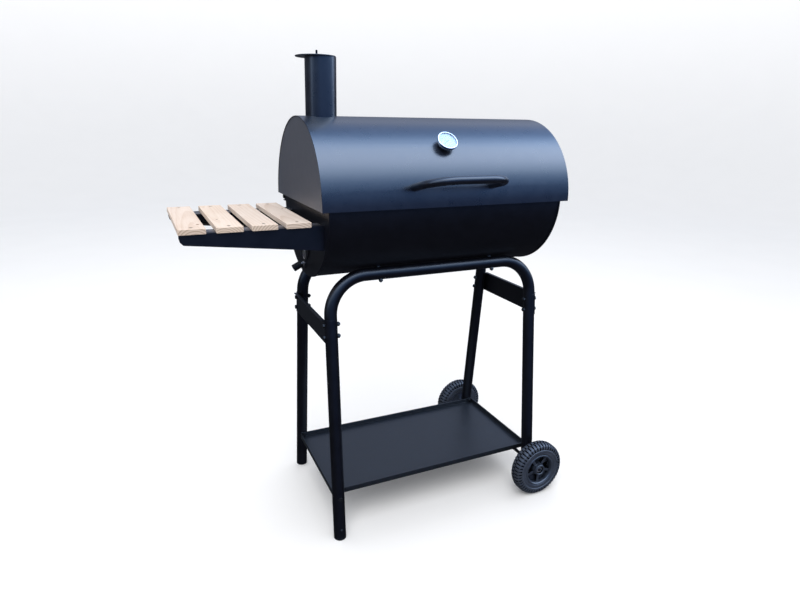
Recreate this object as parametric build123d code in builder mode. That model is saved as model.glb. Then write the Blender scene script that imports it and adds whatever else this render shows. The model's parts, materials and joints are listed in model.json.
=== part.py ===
from build123d import *
import math
import os

# Barrel charcoal grill on a wheeled stand.  Millimetres, +Z up, ground at Z = 0.
# The user stands at -Y, the side shelf is at -X and the wheels are at +X.
# Everything is drawn about the barrel's vertical mid-line and moved to the footprint's
# centre on export.

# ================================================================ driving dimensions
FOOTPRINT_X = -130.575    # centre of the whole grill's footprint
FOOTPRINT_Y = -33.952

AXIS_Z = 864.0            # height of the barrel's axis
SHEET = 1.5               # thickness of the pressed parts
FIT = 0.05                # usual gap between touching parts
SLIP = 0.02               # close gap, on a radius

# Lid
LID_R = 203.0             # outer radius
LID_HALF = 340.0          # half length
LID_CUT = -5.0            # lower edge, from the axis
LID_IN = LID_R - SHEET - FIT
END_INSET = 1.5           # end plates sit this far inside the shell's ends

# Firebox
BOX_R = 194.5             # outer radius
BOX_IN = BOX_R - SHEET
BOX_HALF = 321.0          # half length of the shell, without its end caps
BOX_RIM = 2.0             # upper edge, from the axis
LEFT_FACE_X = -BOX_HALF - SHEET      # outer face of the left end cap
HEM_INSET = 18            # the folded hems stop this far from the ends of both shells
HEM_DEPTH = 9

# Fasteners
BOLT_R = 3.0              # M6 shank
HOLE_R = 3.1              # clearance hole for M6
HEX_FLATS = 10.0          # M6 heads and nuts
HEAD_TOP = 4.2
NUT_T = 5.0
NUT_BORE_R = BOLT_R + SLIP
TALL_NUT_END = 6.0        # far face of the hinge and vent nuts, from their seat
RIVET_R = 2.0
RIVET_HOLE_R = 2.02
SCREW_R = 2.0             # slat and foot-cap screws
SCREW_HOLE_R = 2.05

# Lid hinge
PIVOT_Y = 212.0
PIVOT_Z = AXIS_Z - 18.0
PIVOT_R = BOLT_R
KNUCKLE_R = 9.0
LEAF_T = 2.0

# Stand
TUBE_R = 16.0
TUBE_T = 1.5
PLUG_R = TUBE_R - TUBE_T - FIT
BAR_Y = 115.7             # top bars of the two hoops
BAR_Z = 686.0
FOOT_Y = 184.0            # legs at the ground
LEG_X = 298.0
BEND_R = 95.0
LEFT_END = 5.5            # lower tube ends, measured along the leg from the ground
RIGHT_END = 62.3

# Wheels
AXLE_X = LEG_X
AXLE_R = 5.0
WHEEL_R = 79.5
WHEEL_Y = 222.0
TYRE_W = 39.0
RIM_R = 47.0
HUB_SEAT = 7.5            # floor of the hub's outer counterbore, from the wheel's mid-plane

TILT = math.atan2(FOOT_Y - BAR_Y, BAR_Z)          # splay of the legs
SIN_TILT = math.sin(TILT)
COS_TILT = math.cos(TILT)
BAR_UP = math.hypot(FOOT_Y - BAR_Y, BAR_Z)        # top bar, along the leg from the ground

SIDES = (-1, 1)


# ================================================================ planes
def leg_y(z):
    """Distance of a leg's axis from the mid-plane at height z."""
    return FOOT_Y - z * math.tan(TILT)


def leg_plane(x, y_side, z):
    """Plane square to a leg, on its axis at height z, facing up the leg."""
    return Plane(origin=(x, y_side * leg_y(z), z), x_dir=(1, 0, 0),
                 z_dir=(0, -y_side * SIN_TILT, COS_TILT))


def facing_x(side, x, y, z):
    return Plane(origin=(x, y, z), x_dir=(0, 1, 0), z_dir=(side, 0, 0))


def facing_y(side, x, y, z):
    return Plane(origin=(x, y, z), x_dir=(1, 0, 0), z_dir=(0, side, 0))


def radial(x, y_side, degrees, radius):
    """Outward plane on a cylinder about the barrel axis, degrees above the horizontal."""
    angle = math.radians(degrees)
    normal = (0, y_side * math.cos(angle), math.sin(angle))
    return Plane(origin=(x, radius * normal[1], AXIS_Z + radius * normal[2]),
                 x_dir=(1, 0, 0), z_dir=normal)


def lifted(planes, distance):
    """The planes, each moved along its own z."""
    return [plane.offset(distance) for plane in planes]


def on_y_side(planes, side):
    return [plane for plane in planes if plane.origin.Y * side > 0]


# ================================================================ shared shapes
def ring(r_out, r_in, low, high, side=0):
    """Sketch content: part of a ring about the barrel axis between two heights from it.

    side -1 keeps the front (-Y) part, +1 the rear part, 0 both.  Local axes are Y and Z."""
    size = 3 * r_out
    with Locations((0, AXIS_Z)):
        Circle(r_out)
        if r_in:
            Circle(r_in, mode=Mode.SUBTRACT)
    if high < r_out:
        with Locations((0, AXIS_Z + high)):
            Rectangle(size, size, align=(Align.CENTER, Align.MIN), mode=Mode.SUBTRACT)
    if low > -r_out:
        with Locations((0, AXIS_Z + low)):
            Rectangle(size, size, align=(Align.CENTER, Align.MAX), mode=Mode.SUBTRACT)
    if side:
        with Locations((0, AXIS_Z)):
            Rectangle(size, size, align=(Align.MIN if side < 0 else Align.MAX, Align.CENTER),
                      mode=Mode.SUBTRACT)


def band(x, amount, r_out, r_in, low, high, side=0, mode=Mode.ADD):
    """A ring section extruded along X, starting at x."""
    with BuildSketch(Plane.YZ.offset(x)) as section:
        ring(r_out, r_in, low, high, side)
    extrude(section.sketch, amount=amount, mode=mode)


def plate(plane, points, amount):
    """Closed outline on a plane, extruded."""
    with BuildSketch(plane) as outline:
        with BuildLine():
            Polyline(*points, close=True)
        make_face()
    extrude(outline.sketch, amount=amount)


def turned(plane, points):
    """Solid of revolution about the plane's z; points are (radius, height along z)."""
    profile_plane = Plane(origin=plane.origin, x_dir=plane.x_dir,
                          z_dir=plane.x_dir.cross(plane.z_dir))
    with BuildSketch(profile_plane) as profile:
        with BuildLine():
            Polyline(*points, close=True)
        make_face()
    revolve(profile.sketch, axis=Axis(plane.origin, plane.z_dir))


def rods(planes, radius, start, end, mode=Mode.ADD):
    """Cylinders along each plane's z, from start to end."""
    with Locations(*lifted(planes, start)):
        Cylinder(radius, end - start, align=(Align.CENTER, Align.CENTER, Align.MIN), mode=mode)


def drill(planes, radius, start, depth):
    """Round holes that begin at start on each plane's z and run depth along its -z."""
    with Locations(*lifted(planes, start)):
        Cylinder(radius, depth, align=(Align.CENTER, Align.CENTER, Align.MAX),
                 mode=Mode.SUBTRACT)


def x_rod(radius, x_from, x_to, y, z):
    rods([facing_x(1, x_from, y, z)], radius, 0, x_to - x_from)


def y_rod(radius, x, half, z):
    rods([facing_y(1, x, -half, z)], radius, 0, 2 * half)


def cut_along_x(radius, y, z):
    """Clear a long cylinder parallel to X."""
    with Locations(Plane(origin=(-200, y, z), z_dir=(1, 0, 0))):
        Cylinder(radius, 400, align=(Align.CENTER, Align.CENTER, Align.MIN), mode=Mode.SUBTRACT)


def hexes(planes, flats, start, end, bore=0.0):
    """Hexagon prisms along each plane's z, from start to end, with an optional bore."""
    for plane in planes:
        with BuildSketch(plane.offset(start)) as hexagon:
            RegularPolygon(flats / 2, 6, major_radius=False)
            if bore:
                Circle(bore, mode=Mode.SUBTRACT)
        extrude(hexagon.sketch, amount=end - start)


def domes(planes, radius, start, height):
    """Low heads on each plane: a short cylinder topped by a cone frustum."""
    for plane in planes:
        shoulder = start + height * 0.45
        rods([plane], radius, start, shoulder)
        with Locations(plane.offset(shoulder)):
            Cone(radius, radius * 0.62, height * 0.55,
                 align=(Align.CENTER, Align.CENTER, Align.MIN))


# ================================================================ shared positions
# Hinge rivets and bolts
LID_RIVETS = [radial(side * 328.5, 1, degrees, LID_R) for side in SIDES for degrees in (3.0, 9.0)]
BOX_RIVETS = [radial(side * 308.0, 1, degrees, BOX_R)
              for side in SIDES for degrees in (-6.0, -11.0)]
HINGE_AXES = [facing_x(side, side * 320.1, PIVOT_Y, PIVOT_Z) for side in SIDES]

# Saddle bolts run from the barrel axis through the hoops' top bars
BAR_DIST = math.hypot(BAR_Y, AXIS_Z - BAR_Z)
BAR_ANGLE = -math.degrees(math.atan2(AXIS_Z - BAR_Z, BAR_Y))
SADDLES = [radial(x_side * 165.0, y_side, BAR_ANGLE, 0.0)
           for x_side in SIDES for y_side in SIDES]

# Brace plates and their bolts
BRACE_LOW = 526.0
BRACE_HIGH = 584.0
BRACE_BOLT_Z = (540.0, 570.0)
BRACE_BOLTS = [facing_x(x_side, x_side * (LEG_X + TUBE_R + SHEET), y_side * leg_y(z), z)
               for x_side in SIDES for y_side in SIDES for z in BRACE_BOLT_Z]

# Tray bolts
TRAY_BOLT_Z = 116.0
TRAY_HEAD_Y = leg_y(TRAY_BOLT_Z - 5) + TUBE_R / COS_TILT + 0.1
TRAY_BOLTS = [facing_y(y_side, x_side * LEG_X, y_side * TRAY_HEAD_Y, TRAY_BOLT_Z)
              for x_side in SIDES for y_side in SIDES]

# Foot caps of the left legs; their screws enter from the outer side
FOOT_SCREW_UP = 27
FOOT_PLANES = [leg_plane(-LEG_X, side, 0) for side in SIDES]
FOOT_SCREWS = [Plane(origin=(-LEG_X,
                             side * (FOOT_Y - FOOT_SCREW_UP * SIN_TILT + TUBE_R * COS_TILT),
                             FOOT_SCREW_UP * COS_TILT + TUBE_R * SIN_TILT),
                     x_dir=(1, 0, 0), z_dir=(0, side * COS_TILT, SIN_TILT)) for side in SIDES]

# Shelf
SHELF_END = -637.0
SHELF_Y = 158.5
SHELF_TOP = 823.0
SLAT_T = 12.0
SLAT_X = (-610.4, -532.9, -458.2, -382.9)
SLAT_W = 56.5
SLAT_HALF = 170.0
SHELF_BOLTS = [facing_x(-1, LEFT_FACE_X - SHEET, side * (SHELF_Y - 11), z)
               for side in SIDES for z in (780.0, 806.0)]
SLAT_HOLES = [Plane(origin=(x, side * (SHELF_Y - 8), SHELF_TOP + SLAT_T))
              for x in SLAT_X for side in SIDES]

# Vent; this plane's local y points down
VENT_Y = 8.0
VENT_Z = 750.0
VENT_R = 45.0
VENT_OPEN = 20.0          # turn from the resting place to fully open, degrees
VENT_AXIS = facing_x(-1, LEFT_FACE_X, VENT_Y, VENT_Z)
PORT_PITCH_R = 27.0
PORT_COUNT = 4
PORT_LENGTH = 26.0
PORT_WIDTH = 15.0

# Lid handle: its ends stand on the lid and point outward along HANDLE_DIR
HANDLE_X = -7.3
HANDLE_HALF = 106.4
HANDLE_OUT = 104.9
HANDLE_R = 9.4
HANDLE_RISE = math.radians(13.7)
HANDLE_DIR = (0, -math.cos(HANDLE_RISE), math.sin(HANDLE_RISE))
HANDLE_FOOT = radial(HANDLE_X, -1, 12.5, LID_R).origin
HANDLE_BASES = [Plane(origin=(HANDLE_X + side * HANDLE_HALF, HANDLE_FOOT.Y, HANDLE_FOOT.Z),
                      x_dir=(1, 0, 0), z_dir=HANDLE_DIR) for side in SIDES]

# Thermometer
GAUGE = radial(-9.5, -1, 42.8, LID_R)
GAUGE_STEM_R = 5.0
GAUGE_FACE_R = 24.1

# Chimney
CHIMNEY_X = -275.4
CHIMNEY_R = 38.0
CHIMNEY_TOP = 1203.0
CHIMNEY_UP = 192          # lower end of the pipe, from the barrel axis
CHIMNEY_AXIS = Plane(origin=(CHIMNEY_X, 0, AXIS_Z))

# ================================================================ lid
with BuildPart() as lid_shell:
    # rolled half barrel with a folded hem along both lower edges
    band(-LID_HALF, 2 * LID_HALF, LID_R, LID_R - SHEET, LID_CUT, LID_R)
    band(-LID_HALF + HEM_INSET, 2 * (LID_HALF - HEM_INSET),
         LID_R - SHEET, LID_R - 2 * SHEET, LID_CUT, LID_CUT + HEM_DEPTH)
    rods([CHIMNEY_AXIS], CHIMNEY_R + 0.1, 150, 250, Mode.SUBTRACT)
    drill([GAUGE], GAUGE_STEM_R + 0.1, 5, 12)
    drill(HANDLE_BASES, HOLE_R, 8, 18)
    drill(LID_RIVETS, RIVET_HOLE_R, 1, 4)


def lid_end(side):
    """D-shaped end plate with a turned-in rim and a folded lower hem."""
    with BuildPart() as end:
        outer_x = side * (LID_HALF - END_INSET)
        inner_x = outer_x - side * SHEET
        band(outer_x, -side * SHEET, LID_IN, 0, LID_CUT, LID_R)
        band(inner_x, -side * 12.0, LID_IN, LID_IN - SHEET, LID_CUT, LID_R)
        band(inner_x, -side * 7.0, LID_IN - SHEET, 0, LID_CUT, LID_CUT + SHEET)
        drill(LID_RIVETS, RIVET_HOLE_R, 1, 6)
    return end


# (y, z) outline of the lid leaf's ear, from its top round the heel to the shell
LID_EAR = [
    (LID_R - 4, AXIS_Z + 38), (PIVOT_Y + 3, AXIS_Z + 26), (PIVOT_Y + 10.2, AXIS_Z + 8),
    (PIVOT_Y + 10.2, PIVOT_Z), (PIVOT_Y, PIVOT_Z - 4), (PIVOT_Y - 9, PIVOT_Z),
    (PIVOT_Y - 9, AXIS_Z - 5), (LID_R - 4, AXIS_Z - 5),
]
LID_LEAF_X = 318.1
with BuildPart() as lid_hinge_leaves:
    # strap on the lid's rear lower edge and an ear that reaches down to the hinge bolt
    for side in SIDES:
        band(side * LID_LEAF_X, side * 19.0, LID_R + LEAF_T, LID_R + SLIP, LID_CUT, 42, 1)
        with BuildSketch(Plane.YZ.offset(side * LID_LEAF_X)) as ear:
            with BuildLine():
                Polyline(*LID_EAR, close=True)
            make_face()
            with Locations((PIVOT_Y, PIVOT_Z)):
                Circle(KNUCKLE_R)
            with Locations((0, AXIS_Z)):
                Circle(LID_R + SLIP, mode=Mode.SUBTRACT)
            with Locations((PIVOT_Y, PIVOT_Z)):
                Circle(PIVOT_R + FIT, mode=Mode.SUBTRACT)
        extrude(ear.sketch, amount=side * LEAF_T)
    drill(LID_RIVETS, RIVET_HOLE_R, 3, 6)


def leaf_rivets(planes, grip, head_r):
    """Rivets through a leaf and grip of sheet, with a disc on the inner end."""
    with BuildPart() as rivets:
        rods(planes, RIVET_R, -grip - 0.15, 2.3)
        domes(planes, head_r, 2.1, 1.8)
        rods(planes, 3.2, -grip - 1.3, -grip - 0.1)
    return rivets


# ---------------------------------------------------------------- handle
HANDLE_PLANE = Plane(origin=HANDLE_FOOT, x_dir=(1, 0, 0),
                     z_dir=(0, -math.sin(HANDLE_RISE), -math.cos(HANDLE_RISE)))
HANDLE_TAIL = 14          # extra length inside the lid before trimming
HANDLE_CORNER_X = 41.5    # each corner is cut across by a straight this wide ...
HANDLE_CORNER_Y = 43      # ... and this deep, then rounded
HANDLE_BEND_R = 62
with BuildPart() as lid_handle:
    # one bowed rod; its ends are cut to the lid's curve
    with BuildLine(HANDLE_PLANE) as bow_line:
        FilletPolyline((-HANDLE_HALF, -HANDLE_TAIL),
                       (-HANDLE_HALF, HANDLE_OUT - HANDLE_CORNER_Y),
                       (-HANDLE_HALF + HANDLE_CORNER_X, HANDLE_OUT),
                       (HANDLE_HALF - HANDLE_CORNER_X, HANDLE_OUT),
                       (HANDLE_HALF, HANDLE_OUT - HANDLE_CORNER_Y),
                       (HANDLE_HALF, -HANDLE_TAIL),
                       radius=HANDLE_BEND_R)
    with BuildSketch(Plane(origin=bow_line.line @ 0, z_dir=bow_line.line % 0)):
        Circle(HANDLE_R)
    sweep(path=bow_line.line)
    cut_along_x(LID_R + SLIP, 0, AXIS_Z)
    drill(HANDLE_BASES, BOLT_R + 0.03, 24, 40)

with BuildPart() as handle_screws:
    # screws from inside the lid: shank, washer face, head
    rods(HANDLE_BASES, BOLT_R, -4.5, 22)
    rods(HANDLE_BASES, 8.0, -3.95, -2.75)
    rods(HANDLE_BASES, 5.5, -6.95, -3.95)

# ---------------------------------------------------------------- chimney
with BuildPart() as chimney_pipe:
    with BuildSketch(Plane.XY.offset(AXIS_Z + CHIMNEY_UP)):
        with Locations((CHIMNEY_X, 0)):
            Circle(CHIMNEY_R)
            Circle(CHIMNEY_R - SHEET, mode=Mode.SUBTRACT)
    extrude(amount=CHIMNEY_TOP - AXIS_Z - CHIMNEY_UP)

with BuildPart() as chimney_collar:
    # curved ring round the pipe, against the inside of the lid
    band(CHIMNEY_X - 54, 108, LID_IN, LID_IN - SHEET, 150, LID_R)
    rods([CHIMNEY_AXIS], 49, 150, 210, Mode.INTERSECT)
    rods([CHIMNEY_AXIS], CHIMNEY_R + FIT, 150, 210, Mode.SUBTRACT)

CAP_R = 48.7
CAP_T = 2.0
CAP_PIVOT_Y = 30.0
CAP_AJAR = math.radians(-23.0)
CAP_BASE = Plane(origin=(CHIMNEY_X, CAP_PIVOT_Y, CHIMNEY_TOP))
CAP_BOLT_R = 2.5
CAP_BOLT_FLATS = 8.0
BRACKET_W = 16
with BuildPart() as cap_bracket:
    # small angle inside the pipe's mouth that carries the cap's bolt
    with BuildSketch(Plane.YZ.offset(CHIMNEY_X - BRACKET_W / 2)):
        with BuildLine():
            Polyline((22, CHIMNEY_TOP - 2), (40, CHIMNEY_TOP - 2), (40, CHIMNEY_TOP - 22),
                     (34.4, CHIMNEY_TOP - 22), (34.4, CHIMNEY_TOP - 3.5),
                     (22, CHIMNEY_TOP - 3.5), close=True)
        make_face()
    extrude(amount=BRACKET_W)
    # trim to the pipe's bore
    rods([Plane(origin=(CHIMNEY_X, 0, CHIMNEY_TOP))], CHIMNEY_R - SHEET - FIT, -40, 20,
         Mode.INTERSECT)
    drill([CAP_BASE], CAP_BOLT_R + 0.03, 0, 8)

with BuildPart() as cap_pivot_bolt:
    rods([CAP_BASE], CAP_BOLT_R, -3.6, 19.0)
    hexes([CAP_BASE], CAP_BOLT_FLATS, -7.0, -3.55)
    chamfer(cap_pivot_bolt.edges().sort_by(Axis.Z)[-1], 0.5)
with BuildPart() as cap_pivot_nut:
    hexes([CAP_BASE], CAP_BOLT_FLATS, 2.3, 6.0, CAP_BOLT_R + SLIP)

CAP_CENTRE = (CHIMNEY_X + CAP_PIVOT_Y * math.sin(CAP_AJAR),
              CAP_PIVOT_Y - CAP_PIVOT_Y * math.cos(CAP_AJAR))
with BuildPart() as chimney_cap:
    # damper disc with a rounded edge, swung part-open about its bolt
    with BuildSketch(Plane.XY.offset(CHIMNEY_TOP + 0.1)):
        with Locations(CAP_CENTRE):
            Circle(CAP_R)
        with Locations((CHIMNEY_X, CAP_PIVOT_Y)):
            Circle(CAP_BOLT_R + FIT, mode=Mode.SUBTRACT)
    extrude(amount=CAP_T)
    # only the two rim circles, not the bolt hole
    fillet(chimney_cap.edges().filter_by(GeomType.CIRCLE).filter_by(lambda e: e.radius > 40), 0.7)

# ---------------------------------------------------------------- thermometer
# (radius, height) section of the case, heights from CASE_DATUM above the lid
CASE_DATUM = -8
CASE_PROFILE = [
    (5.1, 14.0), (19.0, 14.0), (23.6, 17.0), (25.0, 20.5), (26.2, 21.2), (26.2, 26.6),
    (25.4, 27.4), (23.4, 27.4), (22.9, 26.4), (24.2, 26.0), (24.2, 22.2), (22.4, 18.2),
    (18.4, 15.3), (5.1, 15.3),
]
with BuildPart() as gauge_case:
    # cup with a rolled bezel
    turned(GAUGE.offset(CASE_DATUM), CASE_PROFILE)

with BuildPart() as gauge_dial:
    # disc with the needle's pin
    rods([GAUGE], GAUGE_FACE_R, 14.3, 15.1)
    rods([GAUGE], 0.8, 15.1, 17.1)

with BuildPart() as gauge_glass:
    rods([GAUGE], GAUGE_FACE_R, 17.3, 17.95)

# resting direction of the needle, from the dial's +x
NEEDLE_REST = math.radians(225.0)
# (along, across) outline of the needle, tip first
NEEDLE = [(20.0, 0.0), (4.0, 1.1), (-6.5, 1.5), (-6.5, -1.5), (4.0, -1.1)]
with BuildPart() as gauge_needle:
    with BuildSketch(GAUGE.offset(15.3)) as pointer:
        with BuildLine():
            Polyline(*[(x * math.cos(NEEDLE_REST) - y * math.sin(NEEDLE_REST),
                        x * math.sin(NEEDLE_REST) + y * math.cos(NEEDLE_REST))
                       for x, y in NEEDLE], close=True)
        make_face()
        Circle(2.6)
        Circle(0.85, mode=Mode.SUBTRACT)
    extrude(pointer.sketch, amount=0.6)

with BuildPart() as gauge_stem:
    # probe, thicker neck through the lid, and a round collar under the case
    rods([GAUGE], 3.0, -62, -6)
    rods([GAUGE], GAUGE_STEM_R, -6, 7.2)
    rods([GAUGE], 8.5, 0.4, 5.9)

with BuildPart() as gauge_nut:
    hexes([GAUGE], 15.0, -5.6, -1.75, GAUGE_STEM_R + 0.03)

# ================================================================ firebox
with BuildPart() as firebox_shell:
    # rolled half barrel with a folded hem along both upper edges
    band(-BOX_HALF, 2 * BOX_HALF, BOX_R, BOX_IN, -BOX_R, BOX_RIM)
    band(-BOX_HALF + HEM_INSET, 2 * (BOX_HALF - HEM_INSET),
         BOX_IN, BOX_IN - SHEET, BOX_RIM - HEM_DEPTH, BOX_RIM)
    drill(SADDLES, HOLE_R, BOX_R + 4, 12)
    drill(BOX_RIVETS, RIVET_HOLE_R, 2, 6)


def box_end(side):
    """Pressed end cap whose rounded rim wraps the end of the shell; the left one has ports."""
    overlap = 4.5
    with BuildPart() as end:
        band(side * (BOX_HALF - overlap), side * (overlap + SHEET),
             BOX_R + SHEET, 0, -BOX_R - SHEET, BOX_RIM)
        outermost = 0 if side < 0 else -1
        fillet(end.edges().filter_by(GeomType.CIRCLE).sort_by(Axis.X)[outermost], 2.8)
        band(side * BOX_HALF, -side * 10, BOX_R + 0.04, 0, -BOX_R - 0.04, BOX_RIM + 5,
             mode=Mode.SUBTRACT)
        if side < 0:
            drill(SHELF_BOLTS, HOLE_R, 0, 12)
            drill([VENT_AXIS], HOLE_R, 2, 12)
            with BuildSketch(VENT_AXIS.offset(1)) as ports:
                with PolarLocations(PORT_PITCH_R, PORT_COUNT, 90 + VENT_OPEN):
                    SlotOverall(PORT_LENGTH, PORT_WIDTH)
            extrude(ports.sketch, amount=-10, mode=Mode.SUBTRACT)
    return end


# (y, z) outline of the body leaf's ear, from the knuckle to the shell and round the tab
TAB_Z = AXIS_Z - 30.0
TAB_Y = 226
BOX_EAR = [
    (PIVOT_Y - 9, PIVOT_Z), (PIVOT_Y - 9, PIVOT_Z + 2), (193, AXIS_Z - 18),
    (187, AXIS_Z - 46), (205, TAB_Z), (TAB_Y, TAB_Z), (TAB_Y, TAB_Z + SHEET),
    (PIVOT_Y + 9, PIVOT_Z),
]
STOP_TAB = [(208, TAB_Z), (TAB_Y, TAB_Z), (TAB_Y, TAB_Z + SHEET), (208, TAB_Z + SHEET)]
BOX_LEAF_X = 316.0
STRAP_LOW = -46
STRAP_HIGH = -13
with BuildPart() as body_hinge_leaves:
    # strap on the shell, upright ear with the bolt hole, and the folded tab that stops the lid
    for side in SIDES:
        leaf_x = side * BOX_LEAF_X
        band(leaf_x, -side * 15.0, BOX_R + LEAF_T, BOX_R + SLIP, STRAP_LOW, STRAP_HIGH, 1)
        with BuildSketch(Plane.YZ.offset(leaf_x)) as ear:
            with BuildLine():
                Polyline(*BOX_EAR, close=True)
            make_face()
            with Locations((PIVOT_Y, PIVOT_Z)):
                Circle(KNUCKLE_R)
            with Locations((0, AXIS_Z)):
                Circle(BOX_R + SHEET + 0.1, mode=Mode.SUBTRACT)
            with Locations((PIVOT_Y, PIVOT_Z)):
                Circle(PIVOT_R + SLIP, mode=Mode.SUBTRACT)
        extrude(ear.sketch, amount=side * LEAF_T)
        # web at the root of the ear
        band(leaf_x, -side * LEAF_T, BOX_R + SHEET + 0.5, BOX_R + SLIP, STRAP_LOW, STRAP_HIGH, 1)
        plate(Plane.YZ.offset(side * (BOX_LEAF_X + LEAF_T)), STOP_TAB, side * 2.6)
    drill(BOX_RIVETS, RIVET_HOLE_R, 3, 6)

with BuildPart() as hinge_pivot_bolts:
    rods(HINGE_AXES, PIVOT_R, -12.0, 0.2)
    hexes(HINGE_AXES, HEX_FLATS, 0.15, HEAD_TOP)

LEDGE_HALF = 296
LEDGE_DROP = 20           # top of the ledges, below the axis
LEDGE_W = 20
with BuildPart() as grate_ledges:
    # angle strips along the inside of the shell, front and rear
    for side in SIDES:
        with BuildSketch(Plane.YZ.offset(-LEDGE_HALF)) as ledge:
            ring(BOX_IN - FIT, BOX_IN - FIT - SHEET, -38, -LEDGE_DROP, side)
            wall_y = math.sqrt((BOX_IN - 0.8) ** 2 - LEDGE_DROP ** 2)
            with Locations((side * wall_y, AXIS_Z - LEDGE_DROP)):
                Rectangle(LEDGE_W, SHEET, align=(Align.MAX if side > 0 else Align.MIN, Align.MAX))
            with Locations((0, AXIS_Z)):
                Circle(BOX_IN - FIT, mode=Mode.INTERSECT)
        extrude(ledge.sketch, amount=2 * LEDGE_HALF)

# ---------------------------------------------------------------- grates
GRATE_HALF = 184.0
FRAME_R = 3.0
FRAME_Z = AXIS_Z - LEDGE_DROP + FRAME_R + FIT
GRATE_SPACES = 14


def grate(x_from, x_to):
    """Cooking grate: a thick wire frame, thin bars across it and one long wire below them."""
    with BuildPart() as wires:
        for y in (-GRATE_HALF, GRATE_HALF):
            x_rod(FRAME_R, x_from, x_to, y, FRAME_Z)
        for x in (x_from, x_to):
            y_rod(FRAME_R, x, GRATE_HALF, FRAME_Z)
            for y in (-GRATE_HALF, GRATE_HALF):
                with Locations((x, y, FRAME_Z)):
                    Sphere(FRAME_R)
        for i in range(1, GRATE_SPACES):
            y_rod(2.0, x_from + (x_to - x_from) * i / GRATE_SPACES, GRATE_HALF, FRAME_Z + 1.2)
        x_rod(2.5, x_from, x_to, 0, FRAME_Z - 1.5)
    return wires


GRATE_INNER_X = 4.5
GRATE_OUTER_X = 294.0

COAL_Y = 118.0
COAL_Z = AXIS_Z - math.sqrt((BOX_IN - 0.3) ** 2 - (COAL_Y + 2.6) ** 2) + 1.8
COAL_BARS = 24
with BuildPart() as charcoal_grate:
    # wire grate that lies low in the firebox on the shell's curve
    for y in (-COAL_Y, -COAL_Y / 3, COAL_Y / 3, COAL_Y):
        x_rod(3.0, -290, 290, y, COAL_Z)
    for i in range(COAL_BARS):
        y_rod(2.5, -288 + 576 * i / (COAL_BARS - 1), COAL_Y, COAL_Z + 1.5)

# ---------------------------------------------------------------- vent
SHUTTER_GAP = 0.1
TAB_END = 56              # centre of the tab's round end, below the vent axis
TAB_R = 11.5
LEVER_DROP = 52.0
LEVER_R = 2.5
LEVER_NECK = 7            # straight length before the bend
DROOP = math.radians(27.0)
with BuildPart() as vent_shutter:
    # disc with four ports and a tab that hangs down; local +y is down
    shutter_plane = VENT_AXIS.offset(SHUTTER_GAP)
    with BuildSketch(shutter_plane) as disc:
        Circle(VENT_R)
        Rectangle(2 * TAB_R, TAB_END, align=(Align.CENTER, Align.MIN))
        with Locations((0, TAB_END)):
            Circle(TAB_R)
        Circle(BOLT_R + FIT, mode=Mode.SUBTRACT)
        with PolarLocations(PORT_PITCH_R, PORT_COUNT, 90):
            SlotOverall(PORT_LENGTH, PORT_WIDTH, mode=Mode.SUBTRACT)
        with Locations((0, LEVER_DROP)):
            Circle(LEVER_R + 0.03, mode=Mode.SUBTRACT)
    extrude(disc.sketch, amount=SHEET)
    # raised outer edge of the disc
    with BuildSketch(shutter_plane.offset(SHEET)) as lip:
        Circle(VENT_R)
        Circle(VENT_R - 1.6, mode=Mode.SUBTRACT)
    extrude(lip.sketch, amount=1.4)

LEVER_Z = VENT_Z - LEVER_DROP
LEVER_X = LEFT_FACE_X - SHUTTER_GAP
with BuildPart() as vent_lever:
    # bent stud with a hexagon shoulder against the tab
    with BuildLine() as stud_line:
        Polyline((LEVER_X - FIT, VENT_Y, LEVER_Z),
                 (LEVER_X - LEVER_NECK, VENT_Y, LEVER_Z),
                 (LEVER_X - LEVER_NECK - 22 * math.cos(DROOP), VENT_Y,
                  LEVER_Z - 22 * math.sin(DROOP)))
        fillet(stud_line.vertices().sort_by(Axis.X)[1], 4)
    with BuildSketch(Plane(origin=stud_line.line @ 0, z_dir=stud_line.line % 0)):
        Circle(LEVER_R)
    sweep(path=stud_line.line)
    hexes([facing_x(-1, LEVER_X - SHEET, VENT_Y, LEVER_Z)], 10.0, SLIP, 5.0)

GRIP = Plane(origin=(LEVER_X - LEVER_NECK, VENT_Y, LEVER_Z), x_dir=(0, 1, 0),
             z_dir=(-math.cos(DROOP), 0, -math.sin(DROOP)))
with BuildPart() as vent_grip:
    rods([GRIP], 9.3, 3.0, 27.0)
    fillet(vent_grip.edges(), 2.0)
    drill([GRIP], LEVER_R + 0.03, 22.4, 22)

with BuildPart() as vent_pivot_bolt:
    rods([VENT_AXIS], BOLT_R, -9.0, SHEET + 0.4)
    domes([VENT_AXIS], 7.0, SHEET + 0.3, 3.4)


# ================================================================ stand
def hoop(side):
    """Bent tube: two splayed legs and a top bar, drilled for its fasteners and the axle."""
    plane = Plane(origin=(0, side * FOOT_Y, 0), x_dir=(1, 0, 0),
                  z_dir=(0, -COS_TILT, -side * SIN_TILT))
    with BuildPart() as tube:
        with BuildLine(plane) as centre_line:
            FilletPolyline((-LEG_X, LEFT_END), (-LEG_X, BAR_UP), (LEG_X, BAR_UP),
                           (LEG_X, RIGHT_END), radius=BEND_R)
        with BuildSketch(Plane(origin=centre_line.line @ 0, z_dir=centre_line.line % 0)):
            Circle(TUBE_R)
            Circle(TUBE_R - TUBE_T, mode=Mode.SUBTRACT)
        sweep(path=centre_line.line)
        drill(on_y_side(BRACE_BOLTS, side), HOLE_R, 1, 40)
        drill(on_y_side(TRAY_BOLTS, side), HOLE_R, 1, 45)
        drill(on_y_side(lifted(SADDLES, BAR_DIST + 22), side), HOLE_R, 0, 45)
        drill([facing_y(side, AXLE_X, side * 210, WHEEL_R)], AXLE_R + 0.1, 0, 70)
        drill(on_y_side(FOOT_SCREWS, side), SCREW_HOLE_R, 1, 9)
    return tube


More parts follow.
